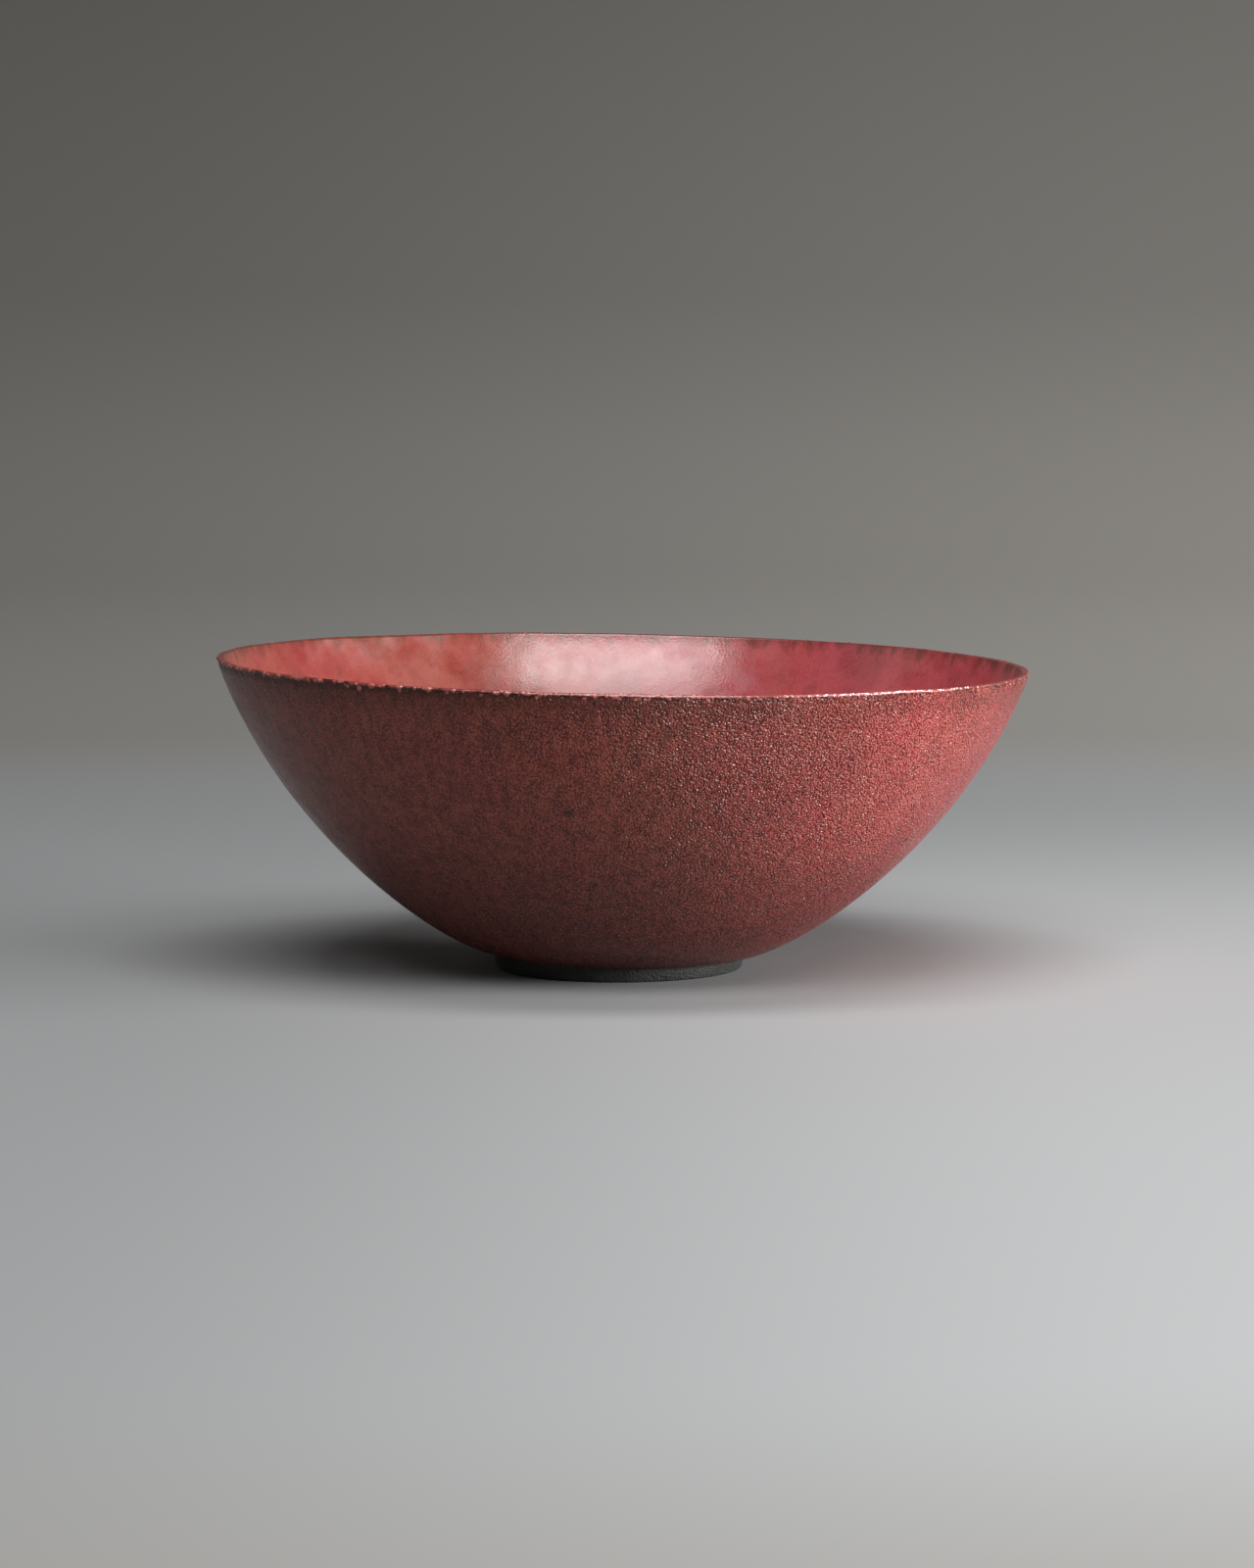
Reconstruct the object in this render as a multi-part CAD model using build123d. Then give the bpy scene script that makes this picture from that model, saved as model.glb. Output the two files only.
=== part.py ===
from build123d import *
import os
from math import cos, radians, sin, tan

# A wheel-thrown bowl with a thin flaring wall, a bare clay foot ring and a satin coat.
# Lengths are millimetres and angles are degrees.
# Every piece is drawn upright about its own axis, with the middle of the foot's base at zero.
# The finished bowl leans a little on a foot that is cut level, as the real one does.
# The origin is on the table under the middle of the mouth, with +Z up and the viewer towards -Y.

# Sizes of the whole bowl
mouth_diameter = 150.0      # widest, at the lip
bowl_height = 57.0          # foot base to top of lip, along the bowl's own axis
lean_angle = 1.05           # the -X side of the mouth stands higher

# Sizes of the wall
lip_thickness = 1.5         # over both coats, rounded to a half circle
lip_angle = 70.2            # rise of the wall at the lip, measured from level
belly_reach = 32.5          # how far down the outside keeps the lip's direction
underside_angle = 8.0       # rise of the outside where it leaves the foot
underside_reach = 9.8       # how far out the outside keeps that rise
hollow_reach = 32.0         # how far down the inside keeps the lip's direction
floor_reach = 31.0          # how far out the inside stays as level as its middle
floor_thickness = 3.3       # middle of the floor, with its coat

# Sizes of the foot ring
foot_diameter = 46.6        # at the top, where it meets the bowl
foot_base_diameter = 44.8   # at the table, before its edge is rounded
foot_base_width = 2.6
foot_top_width = 3.6
foot_height = 2.85          # table to the coat's lower edge
foot_edge_round = 0.4       # softened edges at the table
seat_depth = 1.0            # how far the ring is let into the bowl's underside
well_depth = 3.0            # hollow under the bowl, beside the ring
well_crown = 0.4            # extra depth of that hollow in the middle
well_halfway_share = 0.75   # share of that extra depth left halfway out

# Sizes of the coat
coat_thickness = 0.3
bare_strip = 0.9            # bare clay left between the foot ring and the coat
lip_band = 1.8              # width of the darker coat down each side of the lip

# Making
cut_overrun = 1.0           # clay left on the foot ring below the table, before its level cut


def at(radius, height):
    """Point of the upright section, radius mm from the axis."""
    return Vector(radius, 0, height)


def heading(rise):
    """Outward direction in the section that climbs at the given angle."""
    return at(cos(radians(rise)), sin(radians(rise)))


def side(rise):
    """Direction across that heading, towards the hollow of the bowl."""
    return at(-sin(radians(rise)), cos(radians(rise)))


lip_radius = lip_thickness / 2
lip_centre = at(mouth_diameter / 2 - lip_radius, bowl_height - lip_radius)
foot_radius = foot_diameter / 2
foot_base_radius = foot_base_diameter / 2
floor_height = well_depth + well_crown + floor_thickness


def frame_outside():
    """Corners of the Bezier frame of the coat's outer face, from its lower edge to the lip."""
    start = at(foot_radius + bare_strip, foot_height)
    end = lip_centre - side(lip_angle) * lip_radius
    start_handle = start + heading(underside_angle) * underside_reach
    end_handle = end - heading(lip_angle) * belly_reach
    return [start, start_handle, end_handle, end]


def frame_inside():
    """Corners of the Bezier frame of the coat's inner face, from the floor's middle to the lip."""
    start = at(0, floor_height)
    end = lip_centre + side(lip_angle) * lip_radius
    start_handle = at(floor_reach, floor_height)
    end_handle = end - heading(lip_angle) * hollow_reach
    return [start, start_handle, end_handle, end]


def move_frame(corners, distance):
    """The frame of a curve that runs beside another, each leg moved across by the distance."""
    across = []
    for first, second in zip(corners, corners[1:]):
        along = (second - first).normalized()
        across.append(at(-along.Z, along.X))
    shifts = [across[0]]
    for before, after in zip(across, across[1:]):
        shifts.append((before + after) / (1 + before.dot(after)))
    shifts.append(across[-1])
    return [corner + shift * distance for corner, shift in zip(corners, shifts)]


def draw_lip(outside_curve, inside_curve, radius):
    """Half circle over the lip, from the outside's end to the inside's."""
    top = lip_centre + heading(lip_angle) * radius
    return ThreePointArc(outside_curve @ 1, top, inside_curve @ 1)


def split_curve(curve, share):
    """The parts of a wall curve below and beside the darker coat of the lip."""
    return curve.trim(0, share), curve.trim(share, 1)


outside = Bezier(frame_outside())
inside = Bezier(frame_inside())
clay_outside = Bezier(move_frame(frame_outside(), coat_thickness))
clay_inside = Bezier(move_frame(frame_inside(), -coat_thickness))
lip_top = draw_lip(outside, inside, lip_radius)
clay_lip_top = draw_lip(clay_outside, clay_inside, lip_radius - coat_thickness)

outside_share = 1 - lip_band / outside.length
inside_share = 1 - lip_band / inside.length
outside_wall, outside_lip = split_curve(outside, outside_share)
inside_wall, inside_lip = split_curve(inside, inside_share)
clay_outside_wall, clay_outside_lip = split_curve(clay_outside, outside_share)
clay_inside_wall, clay_inside_lip = split_curve(clay_inside, inside_share)
outside_joint = Line(outside_wall @ 1, clay_outside_wall @ 1)
inside_joint = Line(inside_wall @ 1, clay_inside_wall @ 1)
underside_height = (clay_outside @ 0).Z


def turn(edges):
    """Solid of a closed section turned once round the axis, with a face for each edge."""
    return revolve(make_face(edges), axis=Axis.Z, revolution_arc=360, clean=False)


def make_clay_body():
    """Thrown wall and floor, with a groove in its underside for the foot ring."""
    groove_height = underside_height + seat_depth
    groove_inside = foot_radius - foot_top_width
    well_middle = at(0, well_depth + well_crown)
    well_halfway = at(groove_inside / 2, well_depth + well_crown * well_halfway_share)
    well_edge = at(groove_inside, well_depth)
    well_floor = ThreePointArc(well_middle, well_halfway, well_edge)
    underside = Polyline(
        well_edge,
        at(groove_inside, groove_height),
        at(foot_radius, groove_height),
        at(foot_radius, underside_height),
        clay_outside @ 0,
    )
    return turn([
        Line(clay_inside @ 0, well_middle),
        well_floor,
        underside,
        clay_outside_wall,
        clay_outside_lip,
        clay_lip_top,
        clay_inside_lip,
        clay_inside_wall,
    ])


def make_foot_ring():
    """Bare clay ring, wider where it is let into the bowl, before its base is cut."""
    top_height = underside_height + seat_depth
    groove_inside = foot_radius - foot_top_width
    base_inside = foot_base_radius - foot_base_width
    outer_taper = (foot_radius - foot_base_radius) / underside_height
    inner_taper = (base_inside - groove_inside) / well_depth
    spare = foot_radius * tan(radians(lean_angle)) + cut_overrun
    return turn(Polyline(
        at(foot_radius, top_height),
        at(foot_radius, underside_height),
        at(foot_base_radius - outer_taper * spare, -spare),
        at(base_inside + inner_taper * spare, -spare),
        at(groove_inside, well_depth),
        at(groove_inside, top_height),
        close=True,
    ))


def make_outer_coat():
    """Coat on the outside, with a rounded lower edge beside the foot ring."""
    edge_middle = outside @ 0 + side(underside_angle) * coat_thickness / 2
    edge_tip = edge_middle - heading(underside_angle) * coat_thickness / 2
    lower_edge = ThreePointArc(clay_outside @ 0, edge_tip, outside @ 0)
    return turn([outside_wall, outside_joint, clay_outside_wall, lower_edge])


def make_inner_coat():
    """Coat on the inside, over the floor and up the wall."""
    axis_line = Line(clay_inside @ 0, inside @ 0)
    return turn([inside_wall, inside_joint, clay_inside_wall, axis_line])


def make_lip_coat():
    """Darker coat that wraps over the lip and joins the inner and outer coats."""
    return turn([
        outside_joint,
        outside_lip,
        lip_top,
        inside_lip,
        inside_joint,
        clay_inside_lip,
        clay_lip_top,
        clay_outside_lip,
    ])


def lean(piece):
    """Tip an upright piece to its lean and bring the mouth over the origin."""
    mouth_shift = lip_centre.Z * sin(radians(lean_angle))
    return Pos(-mouth_shift, 0, 0) * Rotation(0, lean_angle, 0) * piece


def cut_level(ring):
    """Cut a leaning foot ring level with the table and soften its two edges."""
    above_table = Box(
        mouth_diameter,
        mouth_diameter,
        bowl_height,
        align=(Align.CENTER, Align.CENTER, Align.MIN),
    )
    level_ring = ring & above_table
    base_edges = level_ring.faces().sort_by(Axis.Z)[0].edges()
    return fillet(base_edges, min(foot_edge_round, foot_base_width / 3))


pieces = {
    "clay_body": lean(make_clay_body()),
    "foot_ring": cut_level(lean(make_foot_ring())),
    "outer_coat": lean(make_outer_coat()),
    "inner_coat": lean(make_inner_coat()),
    "lip_coat": lean(make_lip_coat()),
}

os.makedirs("parts", exist_ok=True)
for name, piece in pieces.items():
    export_step(piece, f"parts/{name}.step")
    print(name, "volume", round(piece.volume / 1000, 2), "cm3")
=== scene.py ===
# %% [markdown]
# # A hand-thrown bowl in a red satin slip
#
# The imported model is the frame: five pieces at their real size, which never move. This script
# gives each piece its finished surface, lights it, and sets the camera where the viewer stands.
# The origin is on the table under the middle of the mouth, +Z is up and the viewer is towards -Y.

# %% Load the frame
import random
from math import cos, hypot, pi, radians, sin, tan

import bmesh
import bpy
from mathutils import Matrix, Vector, kdtree, noise
from mathutils.geometry import interpolate_bezier


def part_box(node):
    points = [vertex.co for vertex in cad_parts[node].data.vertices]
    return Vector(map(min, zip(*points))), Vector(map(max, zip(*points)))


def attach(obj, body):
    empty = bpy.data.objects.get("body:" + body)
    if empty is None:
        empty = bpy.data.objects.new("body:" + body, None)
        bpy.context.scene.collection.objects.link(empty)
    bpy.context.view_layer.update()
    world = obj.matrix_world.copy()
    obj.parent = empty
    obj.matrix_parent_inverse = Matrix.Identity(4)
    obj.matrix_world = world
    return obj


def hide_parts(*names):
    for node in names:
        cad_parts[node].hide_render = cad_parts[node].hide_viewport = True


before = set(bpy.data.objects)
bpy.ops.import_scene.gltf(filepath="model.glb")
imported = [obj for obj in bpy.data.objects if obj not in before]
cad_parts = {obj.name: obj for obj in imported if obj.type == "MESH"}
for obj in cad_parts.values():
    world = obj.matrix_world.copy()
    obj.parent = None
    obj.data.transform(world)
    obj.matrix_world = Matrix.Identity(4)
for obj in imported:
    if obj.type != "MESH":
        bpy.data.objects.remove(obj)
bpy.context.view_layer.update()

# %% [markdown]
# ## The section of the wall
#
# A thrown bowl is one section turned round an axis, so every piece starts as a drawing of half a
# slice. The drawing could be traced point by point, but two Bezier curves say it with eight
# points: one for the outside, which runs almost level away from the foot and then sweeps up to
# the lip, and one for the hollow. They are the same curves as in the frame, in millimetres.

# %% Sizes of the section
MM = 0.001
MOUTH_DIAMETER = 150.0
BOWL_HEIGHT = 57.0
LEAN_ANGLE = 1.05
LIP_THICKNESS = 1.5
LIP_ANGLE = 70.2
LIP_BAND = 1.8
BELLY_REACH = 32.5
UNDERSIDE_ANGLE = 8.0
UNDERSIDE_REACH = 9.8
HOLLOW_REACH = 32.0
FLOOR_REACH = 31.0
FOOT_HEIGHT = 2.85
FOOT_RADIUS = 23.3
FOOT_BASE_RADIUS = 22.4
FOOT_TOP_WIDTH = 3.6
FOOT_BASE_WIDTH = 2.6
FOOT_EDGE_ROUND = 0.4
SEAT_DEPTH = 1.0
WELL_DEPTH = 3.0
WELL_CROWN = 0.4
FLOOR_THICKNESS = 3.3
BARE_STRIP = 0.9
COAT_THICKNESS = 0.3


def at(radius, height):
    """Point of the upright section."""
    return Vector((radius, 0, height))


def heading(rise):
    """Outward direction in the section that climbs at the given angle."""
    return at(cos(radians(rise)), sin(radians(rise)))


def side(rise):
    """Direction across that heading, towards the hollow of the bowl."""
    return at(-sin(radians(rise)), cos(radians(rise)))


LIP_RADIUS = LIP_THICKNESS / 2
LIP_CENTRE = at(MOUTH_DIAMETER / 2 - LIP_RADIUS, BOWL_HEIGHT - LIP_RADIUS)
FLOOR_HEIGHT = WELL_DEPTH + WELL_CROWN + FLOOR_THICKNESS

outside_start = at(FOOT_RADIUS + BARE_STRIP, FOOT_HEIGHT)
outside_end = LIP_CENTRE - side(LIP_ANGLE) * LIP_RADIUS
outside_frame = [
    outside_start,
    outside_start + heading(UNDERSIDE_ANGLE) * UNDERSIDE_REACH,
    outside_end - heading(LIP_ANGLE) * BELLY_REACH,
    outside_end,
]
inside_end = LIP_CENTRE + side(LIP_ANGLE) * LIP_RADIUS
inside_frame = [
    at(0, FLOOR_HEIGHT),
    at(FLOOR_REACH, FLOOR_HEIGHT),
    inside_end - heading(LIP_ANGLE) * HOLLOW_REACH,
    inside_end,
]

# %% [markdown]
# A curve gives its points where its parameter says, bunched near one end. Rings of equal height
# shade better and carry fine relief better, so each curve is walked again in equal steps.

# %% Walk a curve in equal steps
CURVE_POINTS = 400


def move_across(points, distance):
    """The same line, each point moved square to it, towards the hollow for a plus distance."""
    moved = []
    for i, point in enumerate(points):
        along = points[min(i + 1, len(points) - 1)] - points[max(i - 1, 0)]
        along.normalize()
        moved.append(point + at(-along.z, along.x) * distance)
    return moved


def walk(points, start, end, steps):
    """Points at equal steps along a line, from start to end mm of its length."""
    places = [start + (end - start) * i / steps for i in range(steps + 1)]
    walked, passed, leg = [], 0.0, 0
    for place in places:
        while leg < len(points) - 2 and passed + (points[leg + 1] - points[leg]).length < place:
            passed += (points[leg + 1] - points[leg]).length
            leg += 1
        share = (place - passed) / (points[leg + 1] - points[leg]).length
        walked.append(points[leg].lerp(points[leg + 1], min(share, 1.0)))
    return walked


def length_of(points):
    """Length of a line of points."""
    return sum((b - a).length for a, b in zip(points, points[1:]))


def arc(towards, start, end, steps):
    """Points over a half circle from start to end, pushed over towards a point."""
    middle = (start + end) / 2
    radius = (start - end).length / 2
    out = (towards - middle).normalized()
    across = (start - middle).normalized()
    turns = [pi * i / steps for i in range(1, steps)]
    return [middle + (across * cos(t) + out * sin(t)) * radius for t in turns]


outside = interpolate_bezier(*outside_frame, CURVE_POINTS)
inside = interpolate_bezier(*inside_frame, CURVE_POINTS)
clay_outside = move_across(outside, COAT_THICKNESS)
clay_inside = move_across(inside, -COAT_THICKNESS)
outside_length = length_of(outside)
inside_length = length_of(inside)
clay_outside_length = length_of(clay_outside)
clay_inside_length = length_of(clay_inside)
print(f"outside {outside_length:.1f} mm, inside {inside_length:.1f} mm along the wall")

# %% [markdown]
# ## Turning a section into a piece
#
# Spin is the bmesh tool that does what the wheel does: it sweeps an outline round the axis. Each
# step of a spin goes through the whole mesh again, so thousands of steps take minutes. Here it
# sweeps a thirty-second of a turn, and that sector is copied and turned five times, twice as far
# each time, until the ring is whole. Doubles at the seams and on the axis are merged, and the
# normals are worked out again.

# %% Turn an outline
DOUBLINGS = 5
ON_AXIS = 0.001
WELD = 0.0005


def turn(outline, steps):
    """Closed shell of an outline turned once round the axis, upright and in millimetres."""
    outline = [at(0, point.z) if abs(point.x) < ON_AXIS else point for point in outline]
    shell = bmesh.new()
    corners = [shell.verts.new(point) for point in outline]
    edges = [shell.edges.new(pair) for pair in zip(corners, corners[1:] + corners[:1])
             if max(abs(corner.co.x) for corner in pair) > ON_AXIS]
    sector = 2 * pi / 2 ** DOUBLINGS
    bmesh.ops.spin(shell, geom=corners + edges, cent=(0, 0, 0), axis=(0, 0, 1), dvec=(0, 0, 0),
                   angle=sector, steps=steps // 2 ** DOUBLINGS, use_merge=False,
                   use_normal_flip=False, use_duplicate=False)
    for doubling in range(DOUBLINGS):
        copies = bmesh.ops.duplicate(shell, geom=[*shell.verts, *shell.edges, *shell.faces])
        verts = [part for part in copies["geom"] if isinstance(part, bmesh.types.BMVert)]
        bmesh.ops.rotate(shell, verts=verts, cent=(0, 0, 0),
                         matrix=Matrix.Rotation(sector * 2 ** doubling, 3, "Z"))
    bmesh.ops.remove_doubles(shell, verts=shell.verts, dist=WELD)
    bmesh.ops.recalc_face_normals(shell, faces=shell.faces)
    return shell


# %% [markdown]
# The bowl leans by one degree, as it does on the table. Every piece is shaped upright, because
# that is easier to think in, and leans last. Its place goes into its mesh and its object stays at
# the origin. The lines printed for each piece say how far it reaches past its node of the frame.

# %% Lean and finish a piece
SHARP_ANGLE = 50.0
lean = Matrix.Rotation(radians(LEAN_ANGLE), 4, "Y")
lean.translation.x = -LIP_CENTRE.z * sin(radians(LEAN_ANGLE))
to_metres = Matrix.Scale(MM, 4)


def finish_piece(shell, name, slot, *materials):
    """Object of an upright shell: leant, in metres, smooth but for its sharp corners."""
    shell.transform(to_metres @ lean)
    mesh = bpy.data.meshes.new(name)
    for material in materials:
        mesh.materials.append(material)
    shell.to_mesh(mesh)
    open_edges = sum(len(edge.link_faces) != 2 for edge in shell.edges)
    shell.free()
    mesh.shade_smooth()
    mesh.set_sharp_from_angle(angle=radians(SHARP_ANGLE))
    piece = bpy.data.objects.new(name + "_finished", mesh)
    bpy.context.scene.collection.objects.link(piece)
    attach(piece, "root")
    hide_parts(name)
    low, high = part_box(name)
    made = [[f(v.co[i] for v in mesh.vertices) for i in range(3)] for f in (min, max)]
    over = [round((b - a) * 1000, 2) for a, b in zip((*made[0], *high), (*low, *made[1]))]
    print(name, len(mesh.polygons), "faces,", open_edges, "open edges, mm past the node", over)


# %% [markdown]
# ## Wall out of true
#
# Hands leave a wall that is a little out of round and faintly ringed, and the lip is never quite
# level. One function says how far any point of the wall stands out of true, and every piece of
# the wall uses it, so neighbours move together and their joints stay shut. Waves are lengths in
# millimetres, drifts say how far the wall may stand out, and seeds are places in the noise.

# %% How far the thrown wall stands out of true
ROUND_WAVE = 55.0
ROUND_DRIFT = 0.22
ROUND_STRETCH = 0.4
RING_WAVE = 9.0
RING_SPREAD = 60.0
RING_DRIFT = 0.09
RING_SEED = 7.0
WALL_PULL = 0.36
FOOT_HOLD = 2.0
CREST_WAVE = 14.0
CREST_DRIFT = 0.16
CREST_DROP = 0.2
CREST_REACH = 9.0
CREST_SEED = 3.0
STILL_RADIUS = 1.0


def smoothstep(value, low, high):
    """0 below low, 1 above high, and an even curve between."""
    share = min(max((value - low) / (high - low), 0.0), 1.0)
    return share * share * (3 - 2 * share)


def turned_to(point, shift):
    """A shift drawn in the section, turned to the side of the bowl that a point is on."""
    radius = hypot(point.x, point.y)
    return Vector((point.x / radius * shift.x, point.y / radius * shift.x, shift.z))


def out_of_true(point):
    """Shift in mm of a point of the upright wall, always inwards at the lip, none sideways
    on the axis."""
    round_place = Vector((point.x, point.y, point.z * ROUND_STRETCH)) / ROUND_WAVE
    ring_height = point.z / RING_WAVE + RING_SEED
    ring_place = Vector((point.x / RING_SPREAD, point.y / RING_SPREAD, ring_height))
    crest_place = Vector((point.x / CREST_WAVE, point.y / CREST_WAVE, CREST_SEED))
    outward = ROUND_DRIFT * noise.noise(round_place) + RING_DRIFT * noise.noise(ring_place)
    outward = (outward - WALL_PULL) * smoothstep(point.z, FOOT_HOLD, BOWL_HEIGHT)
    upward = CREST_DRIFT * noise.noise(crest_place) - CREST_DROP
    upward *= smoothstep(point.z, BOWL_HEIGHT - CREST_REACH, BOWL_HEIGHT)
    if hypot(point.x, point.y) < STILL_RADIUS:
        return at(0, upward)
    return turned_to(point, at(outward, upward))


def throw(shell):
    """Move every point of an upright shell as far out of true as the wall there."""
    for vert in shell.verts:
        vert.co += out_of_true(vert.co)


# %% [markdown]
# ## Colours and nodes
#
# Colours are written as sRGB hex, as on a colour chart, and turned to the linear values that
# Cycles works in. One small function adds any node with its settings and links.

# %% Helpers for materials
MIX_FACTOR, MIX_UNDER, MIX_OVER, MIX_RESULT = 0, 6, 7, 2


def linear(hex_colour):
    """Linear RGBA of an sRGB hex colour."""
    parts = [int(hex_colour[i:i + 2], 16) / 255 for i in (1, 3, 5)]
    curve = [c / 12.92 if c <= 0.04045 else ((c + 0.055) / 1.055) ** 2.4 for c in parts]
    return (*curve, 1.0)


def add_node(tree, kind, links=None, **settings):
    """Add a node with its settings, each input given as a value, a node or a socket."""
    node = tree.nodes.new(kind)
    for name, value in settings.items():
        setattr(node, name, value)
    for name, value in (links or {}).items():
        if isinstance(value, bpy.types.Node):
            value = value.outputs[0]
        if isinstance(value, bpy.types.NodeSocket):
            tree.links.new(value, node.inputs[name])
        else:
            node.inputs[name].default_value = value
    return node


def new_material(name, **inputs):
    """Material with one Principled shader, its plain inputs set on the shader's own sockets."""
    material = bpy.data.materials.new(name)
    material.use_nodes = True
    shader = material.node_tree.nodes["Principled BSDF"]
    for socket, value in inputs.items():
        shader.inputs[socket.replace("_", " ")].default_value = value
    return material, material.node_tree, shader


# %% [markdown]
# ## The red slip
#
# The coat is a fine clay slip, rich in iron, that was fired until it just began to melt. It dries
# as grains of about half a millimetre, and each grain catches the light by itself, so the surface
# is satin from afar and glitters close up. Its red shifts from brick to crimson in clouds, and low
# on the outside it is painted darker and browner, as painted shade under the overhanging wall. All
# of that is drawn from where a point is on the upright bowl, in millimetres, so the pattern runs on
# over the lip from the outer coat to the inner one.

# %% Place on the upright bowl, in millimetres


def bowl_place(tree):
    """Object coordinates turned upright and counted in millimetres."""
    objects = add_node(tree, "ShaderNodeTexCoord")
    upright = lean.inverted()
    return add_node(tree, "ShaderNodeMapping", {
        "Vector": objects.outputs["Object"],
        "Location": upright.translation,
        "Rotation": upright.to_euler(),
        "Scale": (1 / MM, 1 / MM, 1 / MM),
    })


def grow_along(tree, place, axis, reach, values=(0.0, 1.0)):
    """Value that goes from the first to the second between two places along an axis."""
    axes = add_node(tree, "ShaderNodeSeparateXYZ", {0: place})
    return add_node(tree, "ShaderNodeMapRange", {
        "Value": axes.outputs[axis], "From Min": reach[0], "From Max": reach[1],
        "To Min": values[0], "To Max": values[1],
    }, interpolation_type="SMOOTHSTEP")


def cover(tree, under, place, layers, share=1.0):
    """Tint a colour in patches, each layer from clouds of noise of its own size."""
    for seed, (size, detail, low, high, strength, tone) in enumerate(layers):
        clouds = add_node(tree, "ShaderNodeTexNoise", {
            "Vector": place, "W": float(seed), "Scale": 1 / size, "Detail": detail,
        }, noise_dimensions="4D")
        patches = add_node(tree, "ShaderNodeMapRange", {
            "Value": clouds, "From Min": low, "From Max": high, "To Max": strength,
        }, interpolation_type="SMOOTHSTEP")
        patches = add_node(tree, "ShaderNodeMath", {0: patches, 1: share}, operation="MULTIPLY")
        under = add_node(tree, "ShaderNodeMix", {
            MIX_FACTOR: patches, MIX_UNDER: under, MIX_OVER: linear(tone),
        }, data_type="RGBA", blend_type="MULTIPLY").outputs[MIX_RESULT]
    return under


# %% [markdown]
# The flame reached the bowl from its +X side. There the slip is a full crimson, and towards -X it
# turns brown outside and orange inside. How light or dark each end is, is painted light and shade:
# the outside is painted darker towards -X, away from the side window, as painted shade, and the
# crimson is painted lighter as painted light on the shaded +X inner wall. The wall shelters its own
# outside, so the change starts further towards +X there than it does inside. Low on the outside the
# slip is painted darker and browner, as painted shade under the overhanging wall.

# %% The ground colour of the slip
# The brown is painted darker as painted shade on the -X outside, and the crimson is painted lighter
# as painted light on the shaded +X inner wall.
OUTSIDE_BROWN_IN_PAINTED_SHADE = "#793729"
OUTSIDE_RED = "#AA4139"
INSIDE_ORANGE = "#8D453B"
INSIDE_CRIMSON_IN_PAINTED_LIGHT = "#C2565C"
OUTSIDE_FLAME_AND_LIGHT = (6.0, 62.0)
INSIDE_FLAME_AND_LIGHT = (-24.0, 66.0)
FLAME_WAVE = 32.0
FLAME_DRIFT = 40.0
# Low on the outside the slip is painted darker and browner, as painted shade under the overhanging
# wall.
LOW_SHADE_HEIGHTS = (34.0, 12.0)
LOW_PAINTED_SHADE_TONE = "#D4CCC8"


def flame_and_light_share(tree, place, reach):
    """0 towards -X and 1 towards +X, with a wandering border: the flame's reach and painted light.
    """
    axes = add_node(tree, "ShaderNodeSeparateXYZ", {0: place})
    drift = add_node(tree, "ShaderNodeTexNoise", {
        "Vector": place, "Scale": 1 / FLAME_WAVE, "Detail": 2.0,
    })
    across = add_node(tree, "ShaderNodeMath", {
        0: drift, 1: FLAME_DRIFT, 2: axes.outputs["X"],
    }, operation="MULTIPLY_ADD")
    start, end = [FLAME_DRIFT / 2 + limit for limit in reach]
    return add_node(tree, "ShaderNodeMapRange", {
        "Value": across, "From Min": start, "From Max": end,
    }, interpolation_type="SMOOTHSTEP")


def slip_ground(tree, place, flame_and_light, inner):
    """Colour of the slip before any cloud or grain, brown to red and orange to crimson, with painted
    light and shade.
    """
    outer_side = add_node(tree, "ShaderNodeMix", {
        MIX_FACTOR: flame_and_light, MIX_UNDER: linear(OUTSIDE_BROWN_IN_PAINTED_SHADE), MIX_OVER: linear(OUTSIDE_RED),
    }, data_type="RGBA")
    outer_low = add_node(tree, "ShaderNodeMix", {
        MIX_FACTOR: grow_along(tree, place, "Z", LOW_SHADE_HEIGHTS),
        MIX_UNDER: outer_side.outputs[MIX_RESULT], MIX_OVER: linear(LOW_PAINTED_SHADE_TONE),
    }, data_type="RGBA", blend_type="MULTIPLY")
    inner_side = add_node(tree, "ShaderNodeMix", {
        MIX_FACTOR: flame_and_light_share(tree, place, INSIDE_FLAME_AND_LIGHT),
        MIX_UNDER: linear(INSIDE_ORANGE), MIX_OVER: linear(INSIDE_CRIMSON_IN_PAINTED_LIGHT),
    }, data_type="RGBA")
    return add_node(tree, "ShaderNodeMix", {
        MIX_FACTOR: inner, MIX_UNDER: outer_low.outputs[MIX_RESULT],
        MIX_OVER: inner_side.outputs[MIX_RESULT],
    }, data_type="RGBA").outputs[MIX_RESULT]


# %% [markdown]
# Over the ground lie washes that only darken: crimson and brown clouds of a centimetre or more,
# mottles of a few millimetres, and thin upright runs on the sheltered side. The last two tints
# follow the grains: the darker pits between them are painted shade that the bump can't cast, and
# the paler tops are painted glints. Both count most towards +X, where the side window lights the
# wall, so that is painted light too. Such filters keep the same contrast on the dark side and on
# the bright one. A wash is given by its size in millimetres, its detail, the noise where it starts
# and where it is full, its strength and its tone.

# %% Clouds, runs, and painted shade and glints on the grains
WASHES = [
    (24.0, 2.0, 0.45, 0.62, 0.9, "#FFDDF2"),
    (13.0, 3.0, 0.48, 0.68, 0.8, "#DEE4D8"),
    (7.0, 2.0, 0.48, 0.66, 0.8, "#F6D4DE"),
    (3.0, 3.0, 0.48, 0.68, 0.5, "#D8D0C6"),
]
SHELTERED_SHARE = 0.5
RUN_WASH = (1.6, 1.0, 0.4, 0.66, 0.8, "#C4B0AA")
RUN_STRETCH = 0.12
POLISHED_GRAIN = 0.25
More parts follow.
